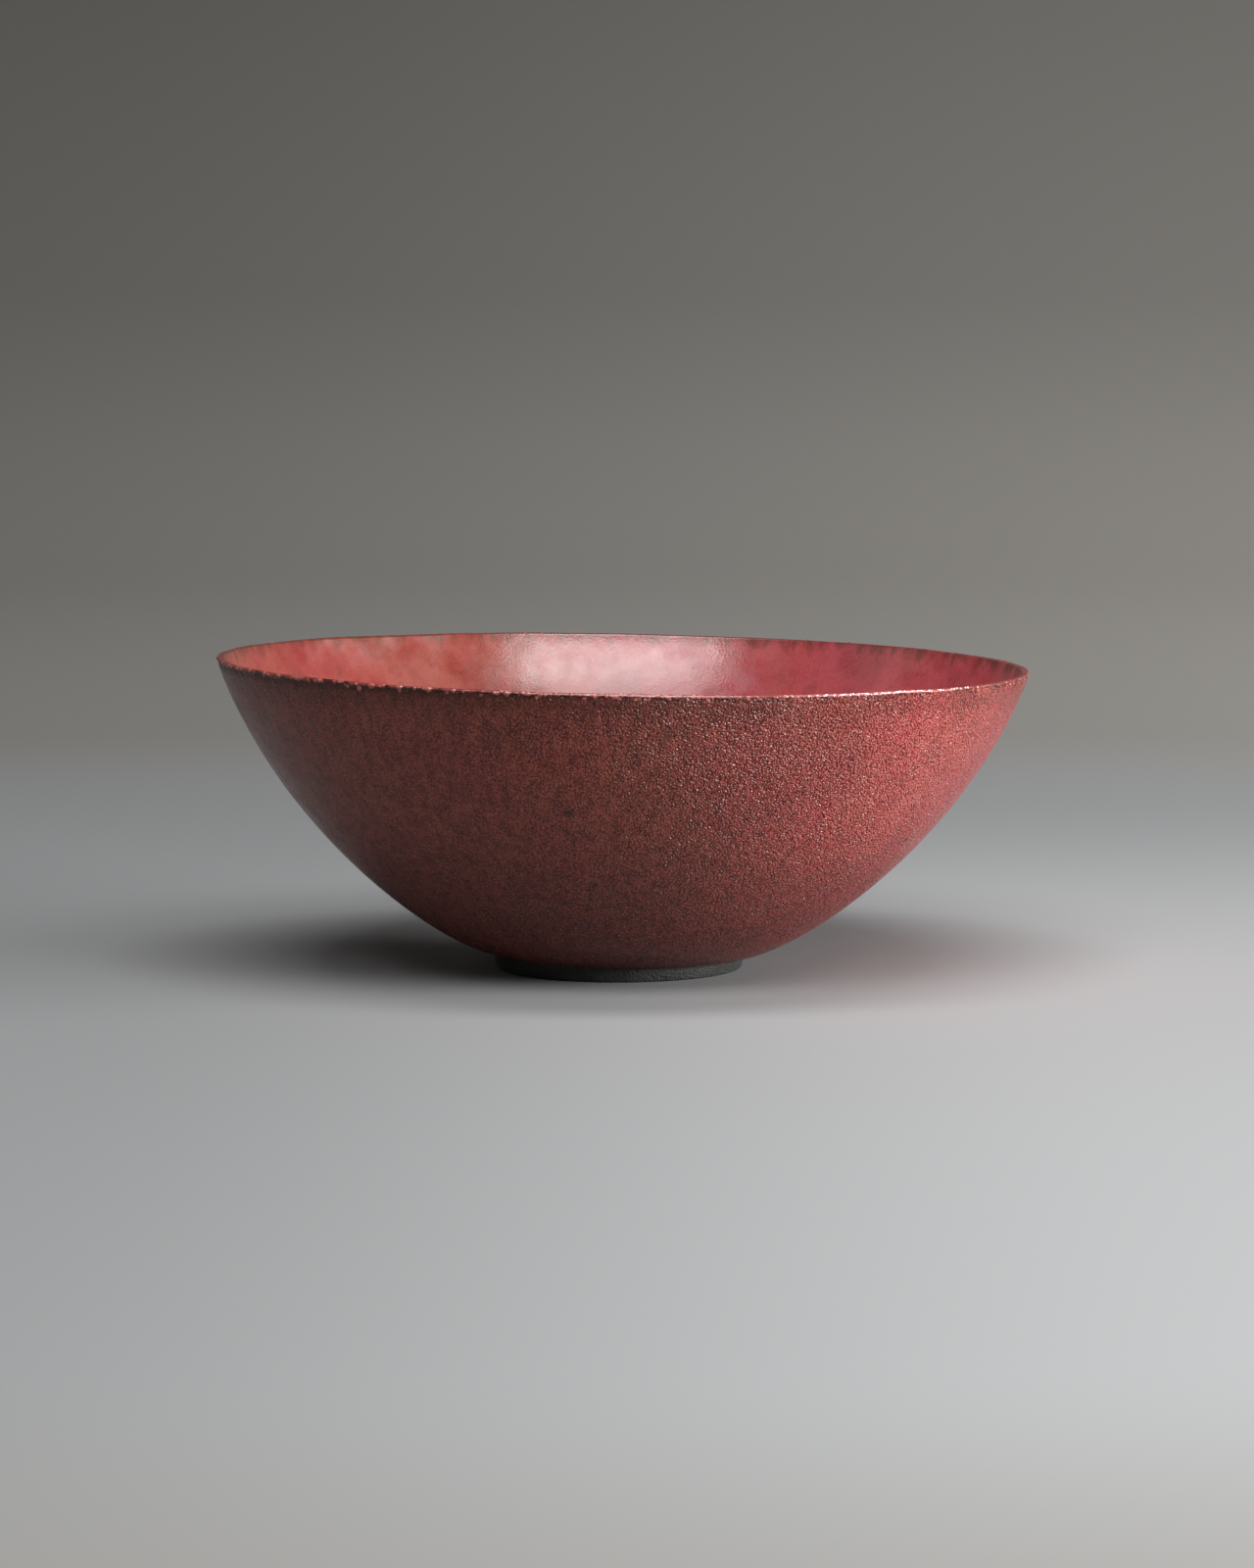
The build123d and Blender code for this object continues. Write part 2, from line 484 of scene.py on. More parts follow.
# The pits are painted shade and the tops painted glints, both stronger towards +X where the side
# window lights the wall.
GRAIN_PAINT_BY_LIGHT = (0.8, 1.8)
PIT_HEIGHTS = (0.6, 0.35)
PIT_PAINTED_SHADE_TONE = "#D4A8A2"
TOP_HEIGHTS = (0.75, 0.95)
PAINTED_GLINT_COVER = 0.18
TOP_PAINTED_GLINT_TONE = "#E28A86"


def paint_grain_shade_and_glints(tree, slip, grains, flame_and_light, inner):
    """Paint shade into the pits between the grains of a colour and paint glints on their tops."""
    open_grain = add_node(tree, "ShaderNodeMapRange", {
        "Value": inner, "To Min": 1.0, "To Max": POLISHED_GRAIN,
    })
    lit_grain_paint = add_node(tree, "ShaderNodeMapRange", {
        "Value": flame_and_light, "To Min": GRAIN_PAINT_BY_LIGHT[0], "To Max": GRAIN_PAINT_BY_LIGHT[1],
    })
    open_grain = add_node(tree, "ShaderNodeMath", {0: open_grain, 1: lit_grain_paint}, operation="MULTIPLY")
    for (start, end), most, tone, blend in (
        (PIT_HEIGHTS, 1.0, PIT_PAINTED_SHADE_TONE, "MULTIPLY"),
        (TOP_HEIGHTS, PAINTED_GLINT_COVER, TOP_PAINTED_GLINT_TONE, "MIX"),
    ):
        share = add_node(tree, "ShaderNodeMapRange", {
            "Value": grains, "From Min": start, "From Max": end, "To Max": most,
        }, interpolation_type="SMOOTHSTEP")
        share = add_node(tree, "ShaderNodeMath", {0: share, 1: open_grain}, operation="MULTIPLY")
        slip = add_node(tree, "ShaderNodeMix", {
            MIX_FACTOR: share, MIX_UNDER: slip, MIX_OVER: linear(tone),
        }, data_type="RGBA", blend_type=blend).outputs[MIX_RESULT]
    return slip


def slip_colour(tree, place, grains, inner):
    """Colour of the slip at a place. inner is 0 outside, 1 inside, or a share between them."""
    flame_and_light = flame_and_light_share(tree, place, OUTSIDE_FLAME_AND_LIGHT)
    slip = slip_ground(tree, place, flame_and_light, inner)
    cloudy = add_node(tree, "ShaderNodeMapRange", {"Value": flame_and_light, "To Min": SHELTERED_SHARE})
    cloudy = add_node(tree, "ShaderNodeMath", {0: cloudy, 1: inner}, operation="MAXIMUM")
    slip = cover(tree, slip, place, WASHES, cloudy)
    upright_runs = add_node(tree, "ShaderNodeMapping", {
        "Vector": place, "Scale": (1, 1, RUN_STRETCH),
    })
    sheltered = add_node(tree, "ShaderNodeMath", {0: 1.0, 1: flame_and_light}, operation="SUBTRACT")
    outside_only = add_node(tree, "ShaderNodeMath", {0: 1.0, 1: inner}, operation="SUBTRACT")
    sheltered = add_node(tree, "ShaderNodeMath", {
        0: sheltered, 1: outside_only,
    }, operation="MULTIPLY")
    slip = cover(tree, slip, upright_runs, [RUN_WASH], sheltered)
    return paint_grain_shade_and_glints(tree, slip, grains, flame_and_light, inner)


# %% [markdown]
# Grains of iron in the clay burn through the slip as small dark spots. Most are scattered, and a
# few are large enough to know by their place: each is given as degrees round the bowl from the
# viewer, height up the wall, width and strength, and the outside curve says how far out that
# height is. Noise shifts the place before the distance to a spot is measured, which makes its
# edge ragged.

# %% Iron spots
IRON_SPOTS = [
    (-8.3, 34.7, 1.9, 0.8),
    (-4.9, 21.2, 1.5, 0.7),
    (-12.9, 47.8, 2.0, 0.25),
    (1.0, 19.0, 1.0, 0.7),
    (62.5, 27.2, 1.7, 0.8),
]
SPOT_TONE = "#1E0F0B"
SPOT_REACH = (0.65, 0.2)
SPOT_WAVES_PER_MM = 1.3
SPOT_WANDER = 1.1
SPECK_SPACING = 9.0
SPECK_RADIUS = 0.3
SPECK_REACH = (1.6, 0.4)
SPECK_STRENGTH = 0.6


def on_wall(azimuth, height):
    """Point of the upright outside at a height, turned from the viewer's side."""
    point = min(outside, key=lambda p: abs(p.z - height))
    turned = radians(azimuth)
    return Vector((point.x * sin(turned), -point.x * cos(turned), height))


def spot_shade(tree, place):
    """1 on each iron spot and 0 off it, with ragged edges."""
    wander = add_node(tree, "ShaderNodeTexNoise", {
        "Vector": place, "Scale": SPOT_WAVES_PER_MM, "Detail": 2.0,
    })
    ragged = add_node(tree, "ShaderNodeVectorMath", {
        0: wander.outputs["Color"], 1: (SPOT_WANDER, SPOT_WANDER, SPOT_WANDER), 2: place,
    }, operation="MULTIPLY_ADD")
    scatter = add_node(tree, "ShaderNodeTexVoronoi", {
        "Vector": place, "Scale": 1 / SPECK_SPACING, "Randomness": 1.0,
    })
    start, end = [SPECK_RADIUS / SPECK_SPACING * share for share in SPECK_REACH]
    shade = add_node(tree, "ShaderNodeMapRange", {
        "Value": scatter.outputs["Distance"], "From Min": start, "From Max": end,
        "To Max": SPECK_STRENGTH,
    }, interpolation_type="SMOOTHSTEP")
    mean_wander = Vector((SPOT_WANDER, SPOT_WANDER, SPOT_WANDER)) / 2
    for azimuth, height, width, strength in IRON_SPOTS:
        centre = on_wall(azimuth, height) + mean_wander
        away = add_node(tree, "ShaderNodeVectorMath", {0: ragged, 1: centre}, operation="DISTANCE")
        spot = add_node(tree, "ShaderNodeMapRange", {
            "Value": away.outputs["Value"], "From Min": width * SPOT_REACH[0],
            "From Max": width * SPOT_REACH[1], "To Max": strength,
        }, interpolation_type="SMOOTHSTEP")
        shade = add_node(tree, "ShaderNodeMath", {0: spot, 1: shade}, operation="MAXIMUM")
    return shade


# %% [markdown]
# ## The dark edge
#
# Slip runs off a thin lip while it melts. On the outside, just under the crest, it is so thin
# that the dark clay and its iron burn through as a black-brown band of a millimetre or two, with
# red lobes of slip hanging over it from the crest. It is narrower and weaker where the flame
# reached, and the lobes are worn thin at the +X tip. Below it the slip stays brown for a few
# millimetres. Inside, a ragged brown edge runs down from the crest, on the lip and on the inner
# coat. All of it is drawn from height, moved up and down by noise, and from which side of the
# wall a point is on. Heights are counted from the crest.

# %% Where a point is on the lip
CREST_HEIGHT = BOWL_HEIGHT - CREST_DROP
CREST_TURN = (-0.25, 0.35)
LIP_SLOPE = 1 / tan(radians(LIP_ANGLE))


def outer_share(tree, place):
    """1 on the outside of the lip, 0 on its inside, and a soft change over the crest."""
    axes = add_node(tree, "ShaderNodeSeparateXYZ", {0: place})
    flat = add_node(tree, "ShaderNodeVectorMath", {0: place, 1: (1, 1, 0)}, operation="MULTIPLY")
    radius = add_node(tree, "ShaderNodeVectorMath", {0: flat}, operation="LENGTH")
    outward = add_node(tree, "ShaderNodeMath", {
        0: axes.outputs["Z"], 1: -LIP_SLOPE, 2: radius.outputs["Value"],
    }, operation="MULTIPLY_ADD")
    middle = LIP_CENTRE.x - LIP_CENTRE.z * LIP_SLOPE - WALL_PULL
    return add_node(tree, "ShaderNodeMapRange", {
        "Value": outward, "From Min": middle + CREST_TURN[0], "From Max": middle + CREST_TURN[1],
    }, interpolation_type="SMOOTHSTEP")


def ragged_height(tree, place, size, detail, swing, stretch=1.0):
    """Height of a place, moved up or down by noise, so that a level border comes out ragged."""
    axes = add_node(tree, "ShaderNodeSeparateXYZ", {0: place})
    upright = add_node(tree, "ShaderNodeMapping", {"Vector": place, "Scale": (1, 1, stretch)})
    runs = add_node(tree, "ShaderNodeTexNoise", {
        "Vector": upright, "Scale": 1 / size, "Detail": detail,
    })
    runs = add_node(tree, "ShaderNodeMath", {0: runs, 1: 0.5}, operation="SUBTRACT")
    return add_node(tree, "ShaderNodeMath", {
        0: runs, 1: swing, 2: axes.outputs["Z"],
    }, operation="MULTIPLY_ADD")


def up_to_crest(tree, height, reach, most=1.0):
    """Share that grows from 0 to most between two heights, both counted from the crest."""
    return add_node(tree, "ShaderNodeMapRange", {
        "Value": height, "From Min": CREST_HEIGHT + reach[0], "From Max": CREST_HEIGHT + reach[1],
        "To Max": most,
    }, interpolation_type="SMOOTHSTEP")


# %% The lobes, the burnt band and the brown edge inside
LOBE_SIZE = 1.5
LOBE_SWING = (3.2, 1.2)
LOBE_SHALLOWS = (-55.0, -28.0)
LOBE_HEIGHTS = (-0.85, -0.55)
LOBE_WEAR = (48.0, 64.0)
WORN_LOBES = 0.35
BURNT_TONE = "#381911"
BURNT_HEIGHTS = (-2.5, -0.8)
BURNT_COVER = (0.68, 0.94)
BURNT_FADE = (45.0, -5.0)
BURNT_NARROWS = (-40.0, 0.0)
BURNT_NARROWING = 0.7
BROWN_TONE = "#B2AC96"
BROWN_HEIGHTS = (-7.3, -0.8)
BROWN_COVER = 0.8
BURNT_SIZE = 3.0
BURNT_SWING = 3.0
INNER_EDGE_TONE = "#5A2E20"
INNER_EDGE_HEIGHTS = (-2.8, 0.8)
INNER_EDGE_COVER = 0.8
INNER_EDGE_SIZE = 2.2
INNER_EDGE_SWING = 7.0
INNER_EDGE_STRETCH = 0.35


def lip_lobes(tree, place):
    """1 where the inner slip hangs over the crest, in deep lobes towards -X, 0 below them."""
    swing = grow_along(tree, place, "X", LOBE_SHALLOWS, LOBE_SWING)
    height = ragged_height(tree, place, LOBE_SIZE, 2.0, swing)
    hanging = up_to_crest(tree, height, LOBE_HEIGHTS)
    left = grow_along(tree, place, "X", LOBE_WEAR, (1.0, WORN_LOBES))
    return add_node(tree, "ShaderNodeMath", {0: hanging, 1: left}, operation="MULTIPLY")


def burn(tree, place, slip, outer, lobes):
    """Lay the dark edge over a colour of the slip, outside and clear of the lobes."""
    height = ragged_height(tree, place, BURNT_SIZE, 4.0, BURNT_SWING)
    narrow = grow_along(tree, place, "X", BURNT_NARROWS, (0.0, -BURNT_NARROWING))
    band_height = add_node(tree, "ShaderNodeMath", {0: height, 1: narrow}, operation="ADD")
    band = up_to_crest(tree, band_height, BURNT_HEIGHTS)
    brown = up_to_crest(tree, height, BROWN_HEIGHTS, BROWN_COVER)
    sheltered = grow_along(tree, place, "X", BURNT_FADE, BURNT_COVER)
    below_lobes = add_node(tree, "ShaderNodeMath", {0: 1.0, 1: lobes}, operation="SUBTRACT")
    for part in (below_lobes, outer, sheltered):
        band, brown = [add_node(tree, "ShaderNodeMath", {0: share, 1: part}, operation="MULTIPLY")
                       for share in (band, brown)]
    thin = add_node(tree, "ShaderNodeMix", {
        MIX_FACTOR: brown, MIX_UNDER: slip, MIX_OVER: linear(BROWN_TONE),
    }, data_type="RGBA", blend_type="MULTIPLY")
    return add_node(tree, "ShaderNodeMix", {
        MIX_FACTOR: band, MIX_UNDER: thin.outputs[MIX_RESULT], MIX_OVER: linear(BURNT_TONE),
    }, data_type="RGBA").outputs[MIX_RESULT]


def inner_edge(tree, place, slip, outer):
    """Lay the ragged brown edge just inside the crest over a colour of the slip."""
    height = ragged_height(tree, place, INNER_EDGE_SIZE, 3.0, INNER_EDGE_SWING, INNER_EDGE_STRETCH)
    edge = up_to_crest(tree, height, INNER_EDGE_HEIGHTS, INNER_EDGE_COVER)
    inside_only = add_node(tree, "ShaderNodeMath", {0: 1.0, 1: outer}, operation="SUBTRACT")
    edge = add_node(tree, "ShaderNodeMath", {0: edge, 1: inside_only}, operation="MULTIPLY")
    return add_node(tree, "ShaderNodeMix", {
        MIX_FACTOR: edge, MIX_UNDER: slip, MIX_OVER: linear(INNER_EDGE_TONE),
    }, data_type="RGBA").outputs[MIX_RESULT]


# %% [markdown]
# ## Satin slip as a material
#
# Outside, the slip is dry and open, so it reflects less than glass does and its roughness is
# middling, but each half-millimetre grain is tilted its own way, which makes the glitter: a
# smooth surface of the same roughness would only glow. The grains are round domes from a Voronoi
# pattern, with finer grit over them from a noise. They are steeper where the flame reached, and
# the slip melted further there, so its roughness falls. Inside, the slip was polished while it
# was leather hard. Its iron gives it a higher index there, so it holds one broad, soft highlight.
# A Bump node turns height in metres into tilt, which is right for relief this fine.

# %% Grain, relief and gloss of the slip
GRAIN_SIZE = 0.45
GRAIN_DEPTH = 0.40
GRAIN_REACH = 0.95
GRAIN_SCATTER = 0.9
GRAIN_STEEPENS = (-55.0, 25.0)
GRAIN_STEEPNESS = (0.45, 1.0)
GRIT_SIZE = 0.33
GRIT_SHARE = 0.7
PEEL_SIZE = 3.2
PEEL_DEPTH = 0.03
SLIP_ROUGHNESS = 0.26
POLISH = 0.09
POLISH_REACH = (-30.0, 30.0)
GLOSS_PATCH = 5.0
GLOSS_DRIFT = 0.07


def slip_grains(tree, place):
    """Height of the grains, from 0 in their gaps to 1 on their tops."""
    cells = add_node(tree, "ShaderNodeTexVoronoi", {
        "Vector": place, "Scale": 1 / GRAIN_SIZE, "Randomness": GRAIN_SCATTER,
    })
    away = cells.outputs["Distance"]
    domes = add_node(tree, "ShaderNodeMath", {0: away, 1: away}, operation="MULTIPLY")
    domes = add_node(tree, "ShaderNodeMapRange", {
        "Value": domes, "From Max": GRAIN_REACH, "To Min": 1.0, "To Max": 0.0,
    })
    grit = add_node(tree, "ShaderNodeTexNoise", {
        "Vector": place, "Scale": 1 / GRIT_SIZE, "Detail": 0.0,
    })
    grit = add_node(tree, "ShaderNodeMapRange", {
        "Value": grit, "To Min": -GRIT_SHARE / 2, "To Max": GRIT_SHARE / 2,
    })
    return add_node(tree, "ShaderNodeMath", {0: grit, 1: domes}, operation="ADD")


def slip_relief(tree, place, shader, grains, depth):
    """Bump of fine grains over a gentle orange peel. depth is the grains' share of full depth."""
    broad = add_node(tree, "ShaderNodeTexNoise", {
        "Vector": place, "Scale": 1 / PEEL_SIZE, "Detail": 2.0,
    })
    peel = add_node(tree, "ShaderNodeBump", {
        "Height": broad, "Distance": PEEL_DEPTH * MM, "Strength": 1.0,
    })
    bump = add_node(tree, "ShaderNodeBump", {
        "Height": grains, "Distance": GRAIN_DEPTH * depth * MM, "Normal": peel,
        "Strength": grow_along(tree, place, "X", GRAIN_STEEPENS, GRAIN_STEEPNESS),
    })
    tree.links.new(bump.outputs[0], shader.inputs["Normal"])


def slip_gloss(tree, place, shader, polish=0.0):
    """Roughness that wanders over patches of a few millimetres, less by polish towards +X."""
    melted = grow_along(tree, place, "X", POLISH_REACH, (SLIP_ROUGHNESS, SLIP_ROUGHNESS - polish))
    patches = add_node(tree, "ShaderNodeTexNoise", {
        "Vector": place, "Scale": 1 / GLOSS_PATCH, "Detail": 4.0,
    })
    rough = add_node(tree, "ShaderNodeMapRange", {
        "Value": patches, "From Min": 0.3, "From Max": 0.7,
        "To Min": -GLOSS_DRIFT, "To Max": GLOSS_DRIFT,
    })
    rough = add_node(tree, "ShaderNodeMath", {0: rough, 1: melted}, operation="ADD")
    tree.links.new(rough.outputs[0], shader.inputs["Roughness"])


# %% The slip on the wall, outside and inside
OPEN_INDEX = 1.43
POLISHED_INDEX = 1.84
POLISHED_RELIEF = 0.03

outer_slip, outer_tree, outer_shader = new_material("satin_slip_outside", IOR=OPEN_INDEX)
outer_place = bowl_place(outer_tree)
outer_grains = slip_grains(outer_tree, outer_place)
outer_colour = slip_colour(outer_tree, outer_place, outer_grains, 0.0)
outer_colour = burn(outer_tree, outer_place, outer_colour, 1.0, 0.0)
outer_colour = add_node(outer_tree, "ShaderNodeMix", {
    MIX_FACTOR: spot_shade(outer_tree, outer_place), MIX_UNDER: outer_colour,
    MIX_OVER: linear(SPOT_TONE),
}, data_type="RGBA").outputs[MIX_RESULT]
outer_tree.links.new(outer_colour, outer_shader.inputs["Base Color"])
slip_gloss(outer_tree, outer_place, outer_shader, POLISH)
slip_relief(outer_tree, outer_place, outer_shader, outer_grains, 1.0)

inner_slip, inner_tree, inner_shader = new_material("satin_slip_inside", IOR=POLISHED_INDEX)
inner_place = bowl_place(inner_tree)
inner_grains = slip_grains(inner_tree, inner_place)
inner_colour = slip_colour(inner_tree, inner_place, inner_grains, 1.0)
inner_colour = inner_edge(inner_tree, inner_place, inner_colour, 0.0)
inner_tree.links.new(inner_colour, inner_shader.inputs["Base Color"])
slip_gloss(inner_tree, inner_place, inner_shader)
slip_relief(inner_tree, inner_place, inner_shader, inner_grains, POLISHED_RELIEF)
print("wall slip:", len(outer_tree.nodes), "nodes outside,", len(inner_tree.nodes), "inside")

# %% [markdown]
# ## Slip on the lip
#
# The lip joins the two coats, so it has both finishes: the polished one over the crest and down
# the inside, and the open one outside below it, each with the index and the gloss of the wall
# beside it, so that no joint shows. Both share their colours, which are mixed by the side a point
# is on. Beads of slip that hang on the crest are paler, and a vertex attribute of the mesh says
# where they are.

# %% The lip's two materials
BEAD_TONE = "#B8665C"
BEAD_EDGE = (0.1, 0.6)
BEAD_COVER = 0.8
BURNT_RELIEF = 0.75


def make_lip_slip(name, index, polish, relief):
    """Slip of the lip, with its own index, polish towards +X and depth of grain."""
    material, tree, shader = new_material(name, IOR=index)
    place = bowl_place(tree)
    grains = slip_grains(tree, place)
    outer = outer_share(tree, place)
    lobes = lip_lobes(tree, place)
    inner = add_node(tree, "ShaderNodeMath", {0: 1.0, 1: outer}, operation="SUBTRACT")
    inner = add_node(tree, "ShaderNodeMath", {0: inner, 1: lobes}, operation="MAXIMUM")
    colour = slip_colour(tree, place, grains, inner)
    colour = burn(tree, place, colour, outer, lobes)
    colour = inner_edge(tree, place, colour, outer)
    beaded = add_node(tree, "ShaderNodeAttribute", attribute_name="bead")
    bead_cover = add_node(tree, "ShaderNodeMapRange", {
        "Value": beaded.outputs["Fac"], "From Min": BEAD_EDGE[0], "From Max": BEAD_EDGE[1],
        "To Max": BEAD_COVER,
    }, interpolation_type="SMOOTHSTEP")
    colour = add_node(tree, "ShaderNodeMix", {
        MIX_FACTOR: bead_cover, MIX_UNDER: colour, MIX_OVER: linear(BEAD_TONE),
    }, data_type="RGBA").outputs[MIX_RESULT]
    tree.links.new(colour, shader.inputs["Base Color"])
    slip_gloss(tree, place, shader, polish)
    slip_relief(tree, place, shader, grains, relief)
    return material


crest_slip = make_lip_slip("satin_slip_on_the_crest", POLISHED_INDEX, 0.0, POLISHED_RELIEF)
burnt_slip = make_lip_slip("burnt_slip_below_the_crest", OPEN_INDEX, POLISH, BURNT_RELIEF)

# %% [markdown]
# ## Bare clay
#
# The foot was wiped clean before the firing, so its dark stoneware shows, grey with a touch of
# green. It is dull and close-grained, so it has a high roughness and a third of the slip's relief.

# %% The clay's material
CLAY_GREY = "#2F302E"
CLAY_MOTTLES = [
    (6.0, 3.0, 0.45, 0.7, 0.8, "#C8C8C0"),
    (0.7, 2.0, 0.5, 0.7, 0.8, "#B0B0AC"),
]
CLAY_RELIEF = 0.3
bare_clay, clay_tree, clay_shader = new_material("dark_stoneware", IOR=1.45, Roughness=0.65)
clay_place = bowl_place(clay_tree)
clay_colour = cover(clay_tree, linear(CLAY_GREY), clay_place, CLAY_MOTTLES)
clay_tree.links.new(clay_colour, clay_shader.inputs["Base Color"])
slip_relief(clay_tree, clay_place, clay_shader, slip_grains(clay_tree, clay_place), CLAY_RELIEF)

# %% [markdown]
# ## Outer coat
#
# The outer coat is a skin 0.3 mm thick on the outside of the wall, from the lip's band down to a
# rounded edge just outside the foot. The edge was wiped by hand with a sponge, so it wavers along
# the wall by a few tenths of a millimetre. Moving its points along the underside, and less the
# further up they are, keeps it on the clay. Its face in the light needs many rows, and the back
# that lies on the clay only a few.

# %% Make the outer coat
OUTER_ROWS = 160
OUTER_STEPS = 480
BACK_ROWS = 20
EDGE_ROWS = 5
EDGE_WAVER = 0.5
EDGE_WAVE = 7.0
EDGE_REACH = 6.0
EDGE_SEED = 5.0
outer_outline = [
    *walk(outside, 0.0, outside_length - LIP_BAND, OUTER_ROWS),
    *walk(clay_outside, 0.0, clay_outside_length - LIP_BAND, BACK_ROWS)[::-1],
    *arc(outside[0] - heading(UNDERSIDE_ANGLE), clay_outside[0], outside[0], EDGE_ROWS),
]
outer_shell = turn(outer_outline, OUTER_STEPS)
for vert in outer_shell.verts:
    waver = EDGE_WAVER * noise.noise(Vector((vert.co.x, vert.co.y, EDGE_SEED)) / EDGE_WAVE)
    radius = hypot(vert.co.x, vert.co.y)
    waver *= 1 - smoothstep(radius, outside_start.x, outside_start.x + EDGE_REACH)
    vert.co += turned_to(vert.co, heading(UNDERSIDE_ANGLE) * waver)
throw(outer_shell)
finish_piece(outer_shell, "outer_coat", "red_coat", outer_slip)

# %% [markdown]
# ## Inner coat
#
# The inner coat covers the floor and the wall up to the lip's band. It was polished smooth, so
# the wall's own wander is all the shape it gets. Its outline starts and ends on the axis, and
# the points there are merged into one pole on each side.

# %% Make the inner coat
INNER_ROWS = 130
INNER_STEPS = 512
inner_outline = [
    *walk(inside, 0.0, inside_length - LIP_BAND, INNER_ROWS),
    *walk(clay_inside, 0.0, clay_inside_length - LIP_BAND, BACK_ROWS)[::-1],
]
inner_shell = turn(inner_outline, INNER_STEPS)
throw(inner_shell)
finish_piece(inner_shell, "inner_coat", "red_coat", inner_slip)

# %% [markdown]
# ## Lip
#
# The lip is a half circle of one and a half millimetres with a band of slip down each side. Its
# crest is drawn pushed over, so that it points more outwards than up. The lip is too small for a
# sculpt brush and too near the eye for bump alone, so it gets a mesh of about a fifth of a
# millimetre and real relief. Towards +X a sponge wiped a bevel along it, which catches the light
# as one bright line. Elsewhere it is finely uneven, with beads where melted slip drew together,
# the large ones on the viewer's left. A kd-tree finds the beads near each point, and each one
# lifts the skin as a low dome. A large bead is given as degrees round the bowl from the viewer,
# millimetres down the outside from the crest, and radius.

# %% Beads along the crest
LARGE_BEADS = [
    (-76.0, 0.5, 0.60), (-71.5, 0.4, 0.65), (-67.0, 0.7, 0.60), (-62.5, 0.5, 0.70),
    (-58.0, 0.5, 0.65), (-54.0, 0.8, 0.60), (-50.0, 0.5, 0.70), (-45.0, 0.6, 0.70),
    (-41.0, 0.4, 0.60), (-37.7, 1.5, 0.60), (-35.5, 0.6, 0.70), (-31.0, 0.6, 0.70),
    (-26.6, 0.7, 0.74), (-22.9, 0.8, 0.50), (-15.5, 0.9, 0.65), (-12.6, 0.7, 0.50),
    (-10.3, 0.7, 0.50),
]
SMALL_BEADS = 460
SMALL_BEAD_DOWN = (0.3, 1.4)
SMALL_BEAD_RADIUS = (0.18, 0.45)
BEAD_SEED = 11
LIP_ROWS = 9
CREST_ROWS = 12
CREST_RISE = 26.565
lip_face = [
    *walk(outside, outside_length - LIP_BAND, outside_length, LIP_ROWS),
    *arc(LIP_CENTRE + heading(CREST_RISE), outside[-1], inside[-1], CREST_ROWS),
    *walk(inside, inside_length - LIP_BAND, inside_length, LIP_ROWS)[::-1],
]
crest_middle = LIP_BAND + LIP_RADIUS * pi / 2
draw = random.Random(BEAD_SEED)
beads = list(LARGE_BEADS)
for _ in range(SMALL_BEADS):
    azimuth = draw.uniform(-180, 180)
    beads.append((azimuth, draw.uniform(*SMALL_BEAD_DOWN), draw.uniform(*SMALL_BEAD_RADIUS)))
bead_tree = kdtree.KDTree(len(beads))
for index, (azimuth, down, radius) in enumerate(beads):
    point = walk(lip_face, crest_middle - down, crest_middle, 1)[0]
    turned = radians(azimuth)
    bead_tree.insert((point.x * sin(turned), -point.x * cos(turned), point.z), index)
bead_tree.balance()
print(len(beads), "beads on", round(length_of(lip_face), 2), "mm of section")

# %% The wiped bevel and the raised skin
BEVEL_RISE = 28.0
BEVEL_TURN = 17.0
BEVEL_TURN_REACH = (0.0, 35.0)
BEVEL_START = 0.6
BEVEL_KEEP = 0.28
BEVEL_REACH = (-30.0, 30.0)
LIP_TAPER = 0.22
TAPER_REACH = (-1.6, 0.4)
SKIN_WAVES = [(0.08, 0.8), (0.04, 0.35)]
INSIDE_CALM = 0.95
INSIDE_CALM_REACH = (-0.3, 0.3)
FLAME_CALM = 0.35
FLAME_CALM_REACH = (-10.0, 30.0)
BEAD_LIFT = 0.3
BEAD_PALENESS = 3.0
FARTHEST_BEAD = 0.75
along_lip = heading(LIP_ANGLE)
across_lip = side(LIP_ANGLE)


def from_lip(point):
    """Offset of a point in the section from the middle of the lip's half circle."""
    return at(hypot(point.x, point.y), point.z) - LIP_CENTRE


def worn(point):
    """Shift of a point of the lip where it was wiped: rounder outside, flatter towards +X."""
    offset = from_lip(point)
    facing = heading(BEVEL_RISE - BEVEL_TURN * smoothstep(point.x, *BEVEL_TURN_REACH))
    over = max(offset.dot(facing) - BEVEL_START, 0.0) * (1 - BEVEL_KEEP)
    shift = facing * -over * smoothstep(point.x, *BEVEL_REACH)
    taper = LIP_TAPER * smoothstep(-offset.dot(across_lip), 0.0, LIP_RADIUS)
    taper *= smoothstep(offset.dot(along_lip), *TAPER_REACH)
    return turned_to(point, shift + across_lip * taper)


def raised(point):
    """How far the skin is raised at a point of the lip, and how much of a bead is there."""
    offset = from_lip(point)
    lift = sum(height * noise.noise(point / wave) for height, wave in SKIN_WAVES)
    lift *= 1 - INSIDE_CALM * smoothstep(offset.dot(across_lip), *INSIDE_CALM_REACH)
    lift *= 1 - FLAME_CALM * smoothstep(point.x, *FLAME_CALM_REACH)
    dome = 0.0
    for place, index, away in bead_tree.find_range(point, FARTHEST_BEAD):
        radius = beads[index][2]
        dome = max(dome, (1 - (away / radius) ** 2) * radius)
    fade = smoothstep(offset.dot(along_lip), -LIP_BAND, -LIP_BAND / 2)
    return (lift + BEAD_LIFT * dome) * fade, min(dome * BEAD_PALENESS, 1.0)


